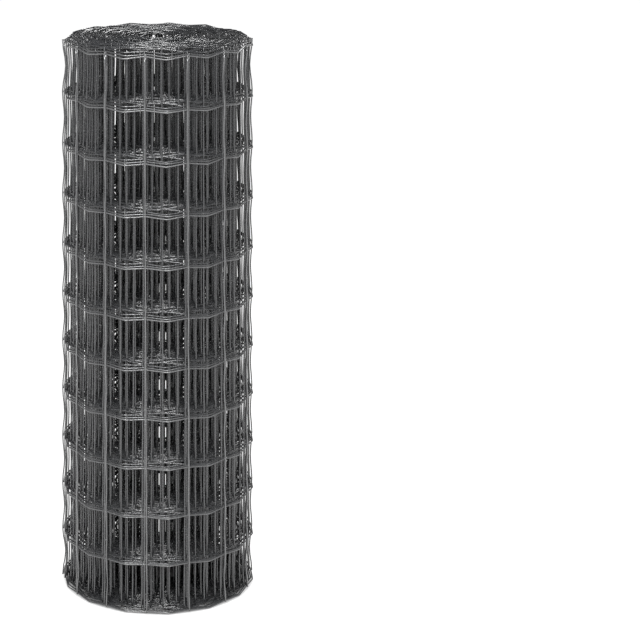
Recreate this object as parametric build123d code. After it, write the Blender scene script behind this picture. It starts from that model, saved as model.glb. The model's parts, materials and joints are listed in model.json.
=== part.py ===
from build123d import *
import os

# A roll of welded wire fencing, standing on one end, with every turn of the sheet still on it.
# The welded sheet is a single piece of stock, so the roll is one turned solid with its bore. The
# line wires run round the roll in rings, one above another, and bulge it; between two rings the
# cross wires pull in to a waist. On both ends the turns of the end line wire show as ridges.
# Millimetres. The origin is the middle of the base, and +Z runs up the roll.

# The sheet
line_wires = 12          # line wires across the sheet, so rings up the roll
mesh_height = 76.0       # from one line wire to the next
wire_diameter = 2.2      # steel core with its plastic coat
kink_height = 3.5        # up and down travel of the kinks that are pressed into a line wire

# The winding
turns = 47
bore_diameter = 54.0     # hollow left in the middle by the winding bar
top_turn_gap = 0.19      # room between neighbouring turns at the top end
base_turn_gap = 0.42     # and at the base, which is wound looser
waist_depth = 2.8        # how far the cross wires sit inside the rings, between two rings
end_waist_depth = 4.6    # the same in the top and lowest rows, where the end wires spread

# The turns as they show on the ends
ridge_crest = 0.8        # flat on top of each ridge
ridge_depth = 0.9        # from a ridge's crest down to the groove between two turns

# Worked out from those
bore_radius = bore_diameter / 2
ring_height = wire_diameter + kink_height
roll_height = (line_wires - 1) * mesh_height + ring_height
top_turn_pitch = wire_diameter + top_turn_gap
base_turn_pitch = wire_diameter + base_turn_gap
top_radius = bore_radius + turns * top_turn_pitch
base_radius = bore_radius + turns * base_turn_pitch


def ring_radius(ring):
    """Outer radius of a ring, counted from 0 at the base: a straight taper up the roll."""
    return base_radius + (top_radius - base_radius) * ring / (line_wires - 1)


def end_ridges(level, inward, pitch):
    """Half section of one end, from the bore to the rim: a flat crest for each turn, and a
    V groove on each line between two turns. inward is +1 at the base and -1 at the top."""
    half_groove = (pitch - ridge_crest) / 2
    points = [(bore_radius, level)]
    for turn in range(1, turns):
        middle = bore_radius + turn * pitch
        points += [
            (middle - half_groove, level),
            (middle, level + inward * ridge_depth),
            (middle + half_groove, level),
        ]
    points.append((bore_radius + turns * pitch, level))
    return points


def draw_side():
    """Outside of the half section, from the base rim to the top rim: a short upright land at
    each ring, and between two rings one arc through the waist."""
    for ring in range(line_wires):
        foot = ring * mesh_height
        head = foot + ring_height
        radius = ring_radius(ring)
        Line((radius, foot), (radius, head))
        if ring == line_wires - 1:
            break
        depth = end_waist_depth if ring in (0, line_wires - 2) else waist_depth
        next_radius = ring_radius(ring + 1)
        next_foot = foot + mesh_height
        waist = ((radius + next_radius) / 2 - depth, (head + next_foot) / 2)
        ThreePointArc((radius, head), waist, (next_radius, next_foot))


def make_roll():
    with BuildPart() as roll:
        with BuildSketch(Plane.XZ):
            with BuildLine():
                Polyline(*end_ridges(0.0, 1, base_turn_pitch))
                draw_side()
                Polyline(*end_ridges(roll_height, -1, top_turn_pitch))
                Line((bore_radius, 0.0), (bore_radius, roll_height))
            make_face()
        revolve(axis=Axis.Z)
    return roll.part


os.makedirs("parts", exist_ok=True)
export_step(make_roll(), "parts/fence_roll.step")
print(f"height {roll_height:.1f}, base radius {base_radius:.2f}, top radius {top_radius:.2f}")
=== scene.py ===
"""The looks of a roll of welded wire fencing: its wires, their plastic coat, the light and the view.

Metres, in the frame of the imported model: the roll stands on the floor at the origin, +Z up, and
the camera looks along +Y. Every turn of the real sheet is here, as wire.
"""

import json
import math

import bpy
import numpy as np
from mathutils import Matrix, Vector


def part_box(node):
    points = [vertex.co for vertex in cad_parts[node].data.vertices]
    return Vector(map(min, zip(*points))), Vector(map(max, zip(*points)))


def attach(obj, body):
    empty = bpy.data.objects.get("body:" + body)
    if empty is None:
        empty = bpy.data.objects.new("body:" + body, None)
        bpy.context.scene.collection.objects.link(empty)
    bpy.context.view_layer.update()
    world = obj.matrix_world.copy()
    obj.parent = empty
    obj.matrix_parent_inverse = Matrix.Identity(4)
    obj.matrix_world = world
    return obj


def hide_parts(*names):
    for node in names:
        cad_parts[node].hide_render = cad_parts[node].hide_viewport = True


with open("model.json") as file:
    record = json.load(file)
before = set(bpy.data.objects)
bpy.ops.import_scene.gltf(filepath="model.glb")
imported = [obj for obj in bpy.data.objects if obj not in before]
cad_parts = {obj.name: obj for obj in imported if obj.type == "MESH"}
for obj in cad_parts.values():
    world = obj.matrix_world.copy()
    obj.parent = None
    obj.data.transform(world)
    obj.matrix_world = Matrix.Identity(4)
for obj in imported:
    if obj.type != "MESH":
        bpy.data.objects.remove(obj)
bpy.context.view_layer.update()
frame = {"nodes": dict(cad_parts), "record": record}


# The welded sheet, as it is wound
# Line wires run the length of the sheet, cross wires stand across it, and the two are welded
# where they meet. A machine winds it on a bar: each turn goes straight over its welds and bends
# at the kinks of the line wires, halfway between two welds.

SHEET_NODE = "fence_roll"
LINE_WIRES = 12
MESH_HEIGHT = 0.076
MESH_WIDTH = 0.063
MESHES = 398                  # meshes along the sheet
WIRE_RADIUS = 0.0011
WELD_LIFT = 0.0019            # from a line wire's centre out to a cross wire's
KINK_DEPTH = 0.0026           # drop of a line wire from a weld to the next kink, at the base
TOP_KINK_DEPTH = 0.0048       # the same near the top
END_KINK_DEPTH = 0.0080       # and on the outer turn of the top line wire, which nothing holds
TIGHT_KINK_SHARE = 0.35       # of that depth is left where the end wire is wound tight
LEAST_KINK = 0.6              # of a kink's depth is left where it was pressed least
FIRST_KINK_SEED = 100
KINK_ROUNDING = 0.07          # rounding of a kink, in half meshes
SLIP = 0.040                  # how far turns slip round each other, where the winding was slack
SLIP_STEP = 0.8               # length of sheet from one slip of the inner turns to the next
SLIP_SEED = 254               # this draw leaves few gaps right through the roll
WELD_INSET = 0.0026           # a weld lies this far inside the circle through its kinks
LEAN = 0.005                  # how far a turn's cross wires lean sideways at the base
LEAN_STEP = 0.8               # length of sheet from one lean to the next
LEAN_SEED = 14
WAIST = 0.0030                # the outer turn's cross wires pull in this far between line wires
END_WAIST = 0.0048            # and this far in the top row and the lowest one
TIGHT_WAIST_SHARE = 0.25      # of that depth is left deep in the roll
WAIST_STEP = 0.9              # the waist's depth changes over this length of sheet,
LEAST_WAIST = 0.7             # down to this share of it
WAIST_SEED = 11
BUNCH = 0.0008                # how far turns stray in and out, and so leave gaps and bunches
SLIDE = 0.0150                # how far turns slide up or down past each other
BASE_SLIDE_SHARE = 0.30       # of that is left at the base, where the turns stand on the floor
FULL_SLIDE_UP = 0.5           # share of the roll's height from which they slide in full
UNEVEN_SHARE = 0.45           # of it comes unevenly, and the rest from how the outer turns hang
HANGING_TURNS = 4.0           # the outer turns hang down at the front in even steps, this many
# Bunches and slides follow waves through the roll: turns to a wave, waves round it, and phase.
BUNCH_WAVES = ((3.3, 1, 0.4), (5.1, 2, 2.0), (2.3, 1, 4.1))
SLIDE_WAVES = ((2.3, 2, 1.1), (3.4, 1, 3.0), (6.1, 3, 5.2))
SLACK_TURNS = 1.75            # the outer turns' slack falls by a factor e over this many
WELDS_PAST_FRONT = 11         # from the cross wire that faces front on, to the loose end
FRONT_WIRE_ANGLE = math.radians(-8.0)   # where that wire stands, seen from the camera
# Where the cross wires of the three outer turns stand at the front, from the outer turn inwards,
# as shares of a mesh to the right of the outer turn's own.
OUTER_PHASES = (0.0, 0.025, 0.985)
PHASE_STEP = 0.39             # how much further right each of the next turns' cross wires stand
STEPPED_TURNS = 10            # so many turns follow that step

record = frame["record"]
bore_radius = next(m for m in record["mounts"] if m["kind"] == "bore")["dims"]["r_mm"] / 1000
roll_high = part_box(SHEET_NODE)[1]
roll_height = roll_high[2]
base_radius = roll_high[0]
solid = frame["nodes"][SHEET_NODE].data
solid_points = np.empty(len(solid.vertices) * 3, dtype=np.float32)
solid.vertices.foreach_get("co", solid_points)
solid_points = solid_points.reshape(-1, 3)
top_points = solid_points[solid_points[:, 2] > roll_height - WIRE_RADIUS]
top_radius = float(np.hypot(top_points[:, 0], top_points[:, 1]).max())

lowest_weld = roll_height - WIRE_RADIUS - MESH_HEIGHT * (LINE_WIRES - 1)
weld_heights = lowest_weld + MESH_HEIGHT * np.arange(LINE_WIRES)
sheet_length = MESHES * MESH_WIDTH
inner_radius = bore_radius + WIRE_RADIUS + WELD_INSET
outer_radius = (base_radius + top_radius) / 2 - WIRE_RADIUS
turn_pitch = math.pi * (outer_radius**2 - inner_radius**2) / sheet_length
turn_count = (outer_radius - inner_radius) / turn_pitch


def wander(along, step, low, high, seed):
    """Slow uneven change along a line: a random number between low and high at each step of
    `along`, joined to the next one by half a cosine wave."""
    place = np.asarray(along, dtype=float) / step
    before = np.floor(place).astype(int)
    share = (1 - np.cos(np.pi * (place - before))) / 2
    knots = np.random.default_rng(seed).uniform(low, high, before.max() + 2)
    return knots[before] * (1 - share) + knots[before + 1] * share


def turns_wound(along):
    """Turns made up to a length of sheet. The area of the wound spiral, pi (r**2 - inner**2), is
    length times pitch, which gives the radius r, and each turn adds one pitch to that."""
    radius = np.sqrt(inner_radius**2 + turn_pitch * np.asarray(along) / math.pi)
    return (radius - inner_radius) / turn_pitch


front_weld = (MESHES - WELDS_PAST_FRONT) * MESH_WIDTH
front_depth = turn_count - turns_wound(front_weld)      # turns outside it
winding_start = FRONT_WIRE_ANGLE - math.pi / 2 - 2 * math.pi * turns_wound(front_weld)
stepped_phases = OUTER_PHASES[-1] + PHASE_STEP * np.arange(1, STEPPED_TURNS + 1)
front_phases = np.concatenate([OUTER_PHASES, stepped_phases])
front_radii = inner_radius + turn_pitch * (turns_wound(front_weld) - np.arange(len(front_phases)))
front_lengths = math.pi * (front_radii**2 - inner_radius**2) / turn_pitch
own_phases = -front_lengths / MESH_WIDTH
front_slips = ((front_phases - own_phases + 0.5) % 1 - 0.5) * MESH_WIDTH


def slipped(along):
    """How far the sheet has slipped round the roll: for each outer turn the length that brings
    its cross wires to their places at the front, and in between in proportion. The turns further
    in have slipped by any amount."""
    inner_lengths = np.arange(0.0, front_lengths[-1] - SLIP_STEP, SLIP_STEP)
    inner_slips = np.random.default_rng(SLIP_SEED).uniform(-0.5, 0.5, len(inner_lengths)) * SLIP
    lengths = np.concatenate([inner_lengths, front_lengths[::-1]])
    return np.interp(along, lengths, np.concatenate([inner_slips, front_slips[::-1]]))


def way_to_kink(along):
    """0 at a weld and 1 at the kink halfway to the next weld, in proportion between them."""
    in_mesh = along / MESH_WIDTH
    return 1 - np.abs(2 * (in_mesh - np.floor(in_mesh)) - 1)


def slack_at(turns):
    """1 on the outer turn, falling by a factor e over each SLACK_TURNS inwards."""
    return np.exp(-(turn_count - turns) / SLACK_TURNS)


def uneven(turns, angle, waves):
    """Between -1 and 1: the mean of sine waves that run through the turns and round the roll."""
    rows = [np.sin(2 * np.pi * turns / step + around * angle + phase) for step, around, phase in waves]
    return sum(rows) / len(rows)


def wound(along, height, lift):
    """A point of the sheet, from its length along the sheet, its height, and how far it stands
    outside the line wires' centres, placed in the roll.
    Angle: the turns wound so far, plus a lean of the whole turn, which grows towards the base.
    Radius: from the bore out by the pitch at that height for each turn, less the inset that is
    deepest at a weld and falls off as the square of the way to the kink, less the waist, a raised
    cosine between two line wires that is deep on the outer turns only, less the bunching.
    Height: the flat sheet's, plus SLIDE times (share * rise - up). rise is 1 inside the roll and
    falls to 0 at the front of the outer turns, which hang there, and uneven waves lessen it. The
    share grows from the base up. up keeps every turn below the top of the roll."""
    along, height, lift = np.broadcast_arrays(along, height, lift)
    up = np.clip(height / roll_height, 0, 1)
    turns = turns_wound(along)
    around = winding_start + 2 * math.pi * turns
    rim = base_radius + (top_radius - base_radius) * up - WIRE_RADIUS
    pitch_here = (rim - inner_radius) / turn_count
    row = (height - lowest_weld) / MESH_HEIGHT
    end_row = (row < 1) | (row > LINE_WIRES - 2)
    waist = np.where(end_row, END_WAIST, WAIST)
    waist = waist * wander(along, WAIST_STEP, LEAST_WAIST, 1.0, WAIST_SEED)
    waist = waist * (TIGHT_WAIST_SHARE + (1 - TIGHT_WAIST_SHARE) * slack_at(turns))
    waist = np.where((row > 0) & (row < LINE_WIRES - 1), waist * (1 - np.cos(2 * np.pi * row)) / 2, 0)
    stray = BUNCH * (1 - uneven(turns, around, BUNCH_WAVES))
    inset = WELD_INSET * (1 - way_to_kink(along) ** 2)
    radius = inner_radius + pitch_here * turns - inset - waist - stray + lift
    lean = LEAN * wander(along, LEAN_STEP, -1.0, 1.0, LEAN_SEED) * (1 - up)
    angle = around + (lean + slipped(along)) / radius
    hang = np.clip((front_depth + HANGING_TURNS - (turn_count - turns)) / HANGING_TURNS, 0, 1)
    rise = 1 - hang * (1 - np.sin(around)) / 2
    rise = rise * (1 - UNEVEN_SHARE * (1 + uneven(turns, around, SLIDE_WAVES)) / 2)
    slide_share = BASE_SLIDE_SHARE + (1 - BASE_SLIDE_SHARE) * np.clip(up / FULL_SLIDE_UP, 0, 1)
    slide = SLIDE * (slide_share * rise - up)
    return np.stack([radius * np.cos(angle), radius * np.sin(angle), height + slide], axis=-1)


def drawn_wire(paths, side_on, radius, sides=6):
    """Wires with round section carried along paths. paths holds the points of every wire, and
    side_on a direction at each point that the wire doesn't run in. At each point the section's
    corners are centre + radius * (side cos a + across sin a), where side is square to the run and
    to side_on, and across is square to the run and to side. Each end is closed with flat quads."""
    wires, points, _ = paths.shape
    run = np.gradient(paths, axis=1)
    run /= np.linalg.norm(run, axis=2, keepdims=True)
    side = np.cross(run, side_on)
    side /= np.linalg.norm(side, axis=2, keepdims=True)
    across = np.cross(run, side)
    turn = 2 * np.pi * np.arange(sides) / sides
    corners = (
        side[:, :, None, :] * np.cos(turn)[:, None] + across[:, :, None, :] * np.sin(turn)[:, None]
    )
    vertices = (paths[:, :, None, :] + radius * corners).reshape(-1, 3)
    index = np.arange(wires * points * sides).reshape(wires, points, sides)
    here, ahead = index[:, :-1], index[:, 1:]
    skin = np.stack([here, np.roll(here, -1, 2), np.roll(ahead, -1, 2), ahead], axis=-1).reshape(-1, 4)
    start, end = index[:, 0], index[:, -1]
    caps = [end[:, [0, c, c + 1, c + 2]] for c in range(1, sides - 1, 2)]
    caps += [start[:, [c + 2, c + 1, c, 0]] for c in range(1, sides - 1, 2)]
    return vertices, np.concatenate([skin, *caps])


def smooth_piece(name, vertices, faces):
    """A mesh object with smooth shading, from arrays of points and four-cornered faces."""
    mesh = bpy.data.meshes.new(name)
    mesh.from_pydata(vertices.tolist(), [], faces.tolist())
    mesh.polygons.foreach_set("use_smooth", np.ones(len(mesh.polygons), dtype=bool))
    mesh.update()
    piece = bpy.data.objects.new(name, mesh)
    bpy.context.collection.objects.link(piece)
    return piece


class Socket:
    """One output of a material's nodes. + and * on it, with a number or another Socket on either
    side, add the Math node that works that out."""

    def __init__(self, tree, output):
        self.tree = tree
        self.output = output

    def new(self, kind, settings, inputs, output=0):
        """Any other node: its kind, its settings, which are set first, the values or Sockets of
        its inputs by name or number, and which of its outputs to give back."""
        node = self.tree.nodes.new(kind)
        for name, value in settings.items():
            setattr(node, name, value)
        for name, value in inputs.items():
            if isinstance(value, Socket):
                self.tree.links.new(value.output, node.inputs[name])
            else:
                node.inputs[name].default_value = value
        return Socket(self.tree, node.outputs[output] if node.outputs else None)

    def math(self, operation, first, second):
        return self.new("ShaderNodeMath", {"operation": operation}, {0: first, 1: second})

    def __add__(self, other):
        return self.math("ADD", self, other)

    __radd__ = __add__

    def __mul__(self, other):
        return self.math("MULTIPLY", self, other)

    __rmul__ = __mul__


def empty_material(name):
    """A new material with no nodes in it, and a Socket to start its nodes from."""
    material = bpy.data.materials.new(name)
    material.use_nodes = True
    material.node_tree.nodes.clear()
    return material, Socket(material.node_tree, None)


MOTTLE_SCALE = 60.0           # noise scales, in patches a metre
RUB_SCALE = 420.0
GRAIN_SCALE = 1500.0
COAT_COLOUR = (0.038, 0.039, 0.041, 1.0)
COAT_DARK = (0.024, 0.025, 0.027, 1.0)
# Painted light: the outer turns' wires are painted paler than those further in, as if lit more.
LIT_OUTER_COLOUR = (0.115, 0.116, 0.118, 1.0)
LIT_OUTER_DEPTH = 0.009         # how far in from the rim the wires are painted paler, as painted light
MOST_LIT_OUTER = 0.3            # share of that depth in which they are painted palest
SCUFF_COLOUR = (0.160, 0.160, 0.160, 1.0)
SCUFF_SHARE = 0.3             # how much of that colour a scuff has
COAT_ROUGHNESS = 0.22
SCUFF_ROUGHNESS = 0.16        # added in a scuff


def coated_wire_material():
    """Anthracite plastic coat: mottled in slow patches along the wires, painted paler on the outer
    turns as painted light, as if lit more than the turns further in, with fine pale scuffs, duller
    there, and a faint orange-peel surface. How far out a place is: its distance from the axis, plus the
    taper of the rim."""
    material, start = empty_material("coated_wire")
    place = start.new("ShaderNodeTexCoord", {}, {}, "Object")
    mottle = start.new(
        "ShaderNodeTexNoise", {}, {"Vector": place, "Scale": MOTTLE_SCALE, "Detail": 3.0}, "Fac"
    )
    coat = start.new(
        "ShaderNodeMix", {"data_type": "RGBA"}, {0: mottle, 6: COAT_DARK, 7: COAT_COLOUR}, 2
    )
    height = start.new("ShaderNodeSeparateXYZ", {}, {0: place}, 2)
    flat_place = start.new("ShaderNodeVectorMath", {"operation": "MULTIPLY"}, {0: place, 1: (1, 1, 0)}, 0)
    from_axis = start.new("ShaderNodeVectorMath", {"operation": "LENGTH"}, {0: flat_place}, 1)
    # Painted light: paler towards the rim, as if the outer turns were lit more than those further in.
    lit_outer = start.new(
        "ShaderNodeMapRange",
        {},
        {
            "Value": from_axis + height * ((base_radius - top_radius) / roll_height),
            "From Min": base_radius - LIT_OUTER_DEPTH,
            "From Max": base_radius - MOST_LIT_OUTER * LIT_OUTER_DEPTH,
        },
        0,
    )
    coat = start.new(
        "ShaderNodeMix", {"data_type": "RGBA"}, {0: lit_outer, 6: coat, 7: LIT_OUTER_COLOUR}, 2
    )
    rubs = start.new(
        "ShaderNodeTexNoise", {}, {"Vector": place, "Scale": RUB_SCALE, "Detail": 2.0}, "Fac"
    )
    scuffed = start.new(
        "ShaderNodeMapRange", {}, {"Value": rubs, "From Min": 0.60, "From Max": 0.72}, 0
    )
    colour = start.new(
        "ShaderNodeMix", {"data_type": "RGBA"}, {0: scuffed * SCUFF_SHARE, 6: coat, 7: SCUFF_COLOUR}, 2
    )
    grain = start.new(
        "ShaderNodeTexNoise", {}, {"Vector": place, "Scale": GRAIN_SCALE, "Detail": 2.0}, "Fac"
    )
    bump = start.new("ShaderNodeBump", {}, {"Height": grain, "Strength": 0.06, "Distance": 0.0002})
    shader = start.new(
        "ShaderNodeBsdfPrincipled",
        {},
        {
            "Base Color": colour,
            "Roughness": COAT_ROUGHNESS + SCUFF_ROUGHNESS * scuffed,
            "Specular IOR Level": 1.0,
            "Coat Weight": 0.25,
            "Coat Roughness": 0.12,
            "Normal": bump,
        },
    )
    start.new("ShaderNodeOutputMaterial", {}, {"Surface": shader})
    return material


coated_wire = coated_wire_material()


# Line wires
# Twelve drawn steel wires run the whole 25 m of the sheet in a spiral, each with a kink pressed
# into it halfway between two welds, so that the fence can be pulled tight.

# Where a line wire's points lie in each mesh: closer together at the weld and at the kink.
KINK_STEPS = np.array([0.0, 0.07, 0.25, 0.43, 0.50, 0.57, 0.75, 0.93])
along_line = (np.arange(MESHES)[:, None] + KINK_STEPS).ravel() * MESH_WIDTH
along_line = np.append(along_line, sheet_length)
UP = np.array([0.0, 0.0, 1.0])


def kinked(along, depth):
    """Drop of a line wire below its welds: straight down to the kink and straight up again, with
    the two corners rounded as a hyperbola rounds its two straight lines."""
    short_of_kink = 1 - way_to_kink(along)
    rounded = 1 - (np.sqrt(short_of_kink**2 + KINK_ROUNDING**2) - KINK_ROUNDING)
    return depth * np.clip(rounded, 0, 1)


for line in range(LINE_WIRES):
    end_wire = line == LINE_WIRES - 1
    up_share = line / (LINE_WIRES - 1)
    depth = END_KINK_DEPTH if end_wire else KINK_DEPTH + (TOP_KINK_DEPTH - KINK_DEPTH) * up_share
    depth = depth * wander(along_line, MESH_WIDTH, LEAST_KINK, 1.0, FIRST_KINK_SEED + line)
    if end_wire:
        slack = slack_at(turns_wound(along_line))
        depth = depth * (TIGHT_KINK_SHARE + (1 - TIGHT_KINK_SHARE) * slack)
    height = weld_heights[line] - kinked(along_line, depth)
    path = wound(along_line, height, 0.0)[None]
    vertices, faces = drawn_wire(path, UP, WIRE_RADIUS)
    piece = smooth_piece(f"line_wire_{line + 1}", vertices, faces)
    piece.data.materials.append(coated_wire)
    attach(piece, "root")
    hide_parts(SHEET_NODE)


# Cross wires
# Straight lengths of the same wire, welded to the outside of the line wires every 63 mm and cut
# off close to the two end ones. Winding pulls them in between the line wires.

CROSS_STEPS_PER_MESH = 6
CROSS_PIECES = 4
LOWER_END = 1.5 * WIRE_RADIUS     # how far a cross wire stands past the lowest line wire's centre
UPPER_END = 0.3 * WIRE_RADIUS     # and past the top one's
cross_steps = np.arange(CROSS_STEPS_PER_MESH * (LINE_WIRES - 1) + 1) / CROSS_STEPS_PER_MESH
cross_height = lowest_weld + MESH_HEIGHT * cross_steps
cross_height[0] -= LOWER_END
cross_height[-1] += UPPER_END
for group, welds in enumerate(np.array_split(np.arange(MESHES + 1), CROSS_PIECES)):
    along = welds[:, None] * MESH_WIDTH
    path = wound(along, cross_height[None, :], WELD_LIFT)
    radial = path * np.array([1.0, 1.0, 0.0])
    vertices, faces = drawn_wire(path, radial, WIRE_RADIUS)
    piece = smooth_piece(f"cross_wires_{group + 1}", vertices, faces)
    piece.data.materials.append(coated_wire)
    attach(piece, "root")
    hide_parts(SHEET_NODE)


# Floor, light and camera
# A pale studio floor, two wide soft lamps in front, one high above, one behind, and faint light
#  from all round. The floor and the world show white to the camera, and the floor to reflections,
#  except under the roll, where the floor is left without glow as a painted shadow.

FLOOR_HALF = 30.0
FLOOR_COLOUR = (0.8, 0.8, 0.8, 1.0)       # as it lights the roll
SHADED_COLOUR = (0.4, 0.4, 0.4, 1.0)      # as the camera sees it, under the glow that whitens it
GLOW_FROM = 0.9                           # the glow begins at this share of the roll's radius; inside it, none, a painted shadow
NEAR_GLOW = 0.85
FAR_GLOW = 0.15                           # added from FAR_START to FAR_END, where lamps reach less
FAR_START = 0.4
FAR_END = 1.6
WHITE = (1.0, 1.0, 1.0, 1.0)
SURROUND_STRENGTH = 0.03


def white_to_camera(start):
    """1 for rays from the camera, and for what glossy and clear surfaces show, else 0."""
    rays = start.new("ShaderNodeLightPath", {}, {}, "Is Camera Ray")
    glossy = Socket(start.tree, rays.output.node.outputs["Is Glossy Ray"])
    clear = Socket(start.tree, rays.output.node.outputs["Is Transmission Ray"])
    return rays + glossy + clear


floor_points = FLOOR_HALF * np.array([[-1, -1, 0], [1, -1, 0], [1, 1, 0], [-1, 1, 0]])
floor = smooth_piece("floor", floor_points, np.array([[0, 1, 2, 3]]))
floor_material, start = empty_material("pale_floor")
lit = start.new("ShaderNodeBsdfDiffuse", {}, {"Color": FLOOR_COLOUR})
shown = start.new("ShaderNodeBsdfDiffuse", {}, {"Color": SHADED_COLOUR})
place = start.new("ShaderNodeTexCoord", {}, {}, "Object")
from_axis = start.new("ShaderNodeVectorMath", {"operation": "LENGTH"}, {0: place}, 1)
# Painted shadow: no glow under the roll, so the floor there shows dark, as in the roll's shadow.
glow_beyond_painted_shadow = start.new(
    "ShaderNodeMapRange",
    {},
    {
        "Value": from_axis,
        "From Min": GLOW_FROM * base_radius,
        "From Max": base_radius,
        "To Max": NEAR_GLOW,
    },
)
far_off = start.new(
    "ShaderNodeMapRange",
    {},
    {"Value": from_axis, "From Min": FAR_START, "From Max": FAR_END, "To Max": FAR_GLOW},
)
glow = start.new("ShaderNodeEmission", {}, {"Color": glow_beyond_painted_shadow + far_off})
shown = start.new("ShaderNodeAddShader", {}, {0: shown, 1: glow})
mixed = start.new("ShaderNodeMixShader", {}, {0: white_to_camera(start), 1: lit, 2: shown})
start.new("ShaderNodeOutputMaterial", {}, {"Surface": mixed})
floor.data.materials.append(floor_material)

world = bpy.data.worlds.new("studio")
bpy.context.scene.world = world
world.use_nodes = True
world.node_tree.nodes.clear()
start = Socket(world.node_tree, None)
faint = start.new("ShaderNodeBackground", {}, {"Color": WHITE, "Strength": SURROUND_STRENGTH})
bright = start.new("ShaderNodeBackground", {}, {"Color": WHITE, "Strength": 1.0})
camera_ray = start.new("ShaderNodeLightPath", {}, {}, "Is Camera Ray")
mixed = start.new("ShaderNodeMixShader", {}, {0: camera_ray, 1: faint, 2: bright})
start.new("ShaderNodeOutputWorld", {}, {"Surface": mixed})


LAMP_AIM = (0.0, 0.0, 0.42)   # the middle of the roll


def soft_lamp(name, place, aim, width, height, power):
    """An oblong lamp at a place, turned to shine at the point aimed at, and itself unseen."""
    lamp = bpy.data.lights.new(name, "AREA")
    lamp.shape = "RECTANGLE"
    lamp.size = width
    lamp.size_y = height
    lamp.energy = power
    holder = bpy.data.objects.new(name, lamp)
    holder.location = place
    holder.rotation_euler = (Vector(aim) - Vector(place)).to_track_quat("-Z", "Y").to_euler()
    holder.visible_camera = False
    bpy.context.collection.objects.link(holder)


# Each lamp: where it stands, its width and height, and its power in watts.
soft_lamp("left_lamp", (-0.88, -1.75, 1.75), LAMP_AIM, 0.8, 0.40, 45.0)
soft_lamp("right_lamp", (0.45, -1.90, 1.75), LAMP_AIM, 0.8, 0.40, 41.0)
soft_lamp("top_lamp", (-0.10, -0.95, 2.50), LAMP_AIM, 1.0, 0.40, 14.0)
soft_lamp("back_lamp", (0.35, 1.45, 2.20), LAMP_AIM, 1.0, 0.50, 26.0)

CAMERA_DISTANCE = 2.750       # from the roll's axis, over the floor
CAMERA_HEIGHT = 1.1865
CAMERA_DIP = math.radians(15.71)
SENSOR_WIDTH = 36.0           # in millimetres, as the focal length is
FOCAL_LENGTH = 107.46
FRAME_SHIFT = 0.253           # the roll stands left of the middle of the photograph

camera_data = bpy.data.cameras.new("camera")
camera_data.sensor_width = SENSOR_WIDTH
camera_data.lens = FOCAL_LENGTH
camera_data.shift_x = FRAME_SHIFT
camera = bpy.data.objects.new("camera", camera_data)
camera.location = (0.0, -CAMERA_DISTANCE, CAMERA_HEIGHT)
camera.rotation_euler = (math.pi / 2 - CAMERA_DIP, 0.0, 0.0)
bpy.context.collection.objects.link(camera)
bpy.context.scene.camera = camera
bpy.context.scene.view_settings.view_transform = "Standard"
